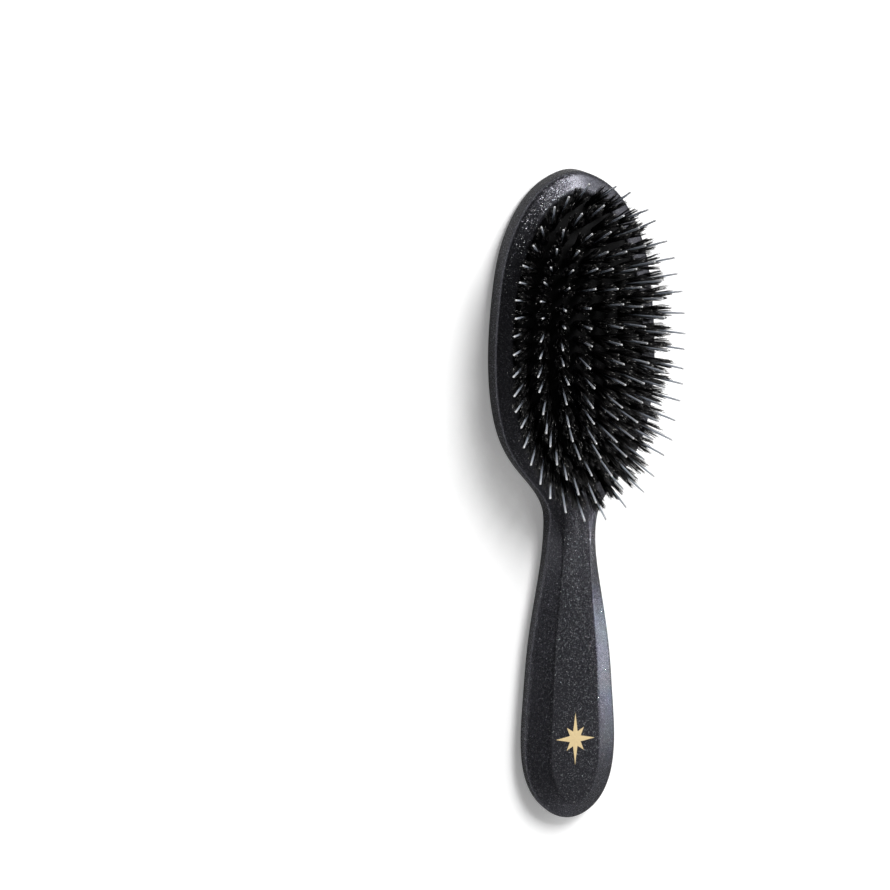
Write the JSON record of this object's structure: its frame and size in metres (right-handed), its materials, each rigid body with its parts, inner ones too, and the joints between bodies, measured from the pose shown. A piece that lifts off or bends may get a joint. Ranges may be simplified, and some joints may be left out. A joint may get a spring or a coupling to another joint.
{
  "type": "hair brush",
  "caption": "Cushioned hair brush with an oval head, a bevelled handle and a domed rubber pad that gives under boar bristle tufts with longer nylon quills.",
  "frame": {"origin": "middle of the brush's length and width, on the flat back", "axes": "+Y along the brush to the tip of the head, +Z out of the bristle side, +X across"},
  "size_m": [0.0616, 0.225, 0.045],
  "materials": {
    "body_plastic": "charcoal lacquer with fine silver flakes",
    "cushion_rubber": "matt",
    "nylon": "translucent, with rounded tips",
    "bristle": "natural bristle in bundles"
  },
  "bodies": {
    "brush": {"brush_body": "body_plastic", "cushion_pad": "cushion_rubber"},
    "inner_ring": {"inner_quills": "nylon", "inner_tufts": "bristle"},
    "third_ring": {"third_quills": "nylon", "third_tufts": "bristle"},
    "second_ring": {"second_quills": "nylon", "second_tufts": "bristle"},
    "outer_ring": {"outer_quills": "nylon", "outer_tufts": "bristle"}
  },
  "joints": [
    {"name": "cushion_press", "type": "slide", "parent": "brush", "child": "inner_ring", "axis": [0, 0, -1], "range_m": [0, 0.0035], "stiffness_N_per_m": 900, "deforming": ["cushion_pad"]},
    {"name": "third_press", "type": "slide", "parent": "brush", "child": "third_ring", "axis": [0, 0, -1], "range_m": [0, 0.0028], "stiffness_N_per_m": 900, "deforming": ["cushion_pad"]},
    {"name": "second_press", "type": "slide", "parent": "brush", "child": "second_ring", "axis": [0, 0, -1], "range_m": [0, 0.0017], "stiffness_N_per_m": 900, "deforming": ["cushion_pad"]},
    {"name": "outer_press", "type": "slide", "parent": "brush", "child": "outer_ring", "axis": [0, 0, -1], "range_m": [0, 0.0005], "stiffness_N_per_m": 900, "deforming": ["cushion_pad"]}
  ],
  "couplings": [
    {"joint": "third_press", "follows": "cushion_press", "ratio": 0.8},
    {"joint": "second_press", "follows": "cushion_press", "ratio": 0.48},
    {"joint": "outer_press", "follows": "cushion_press", "ratio": 0.13}
  ]
}
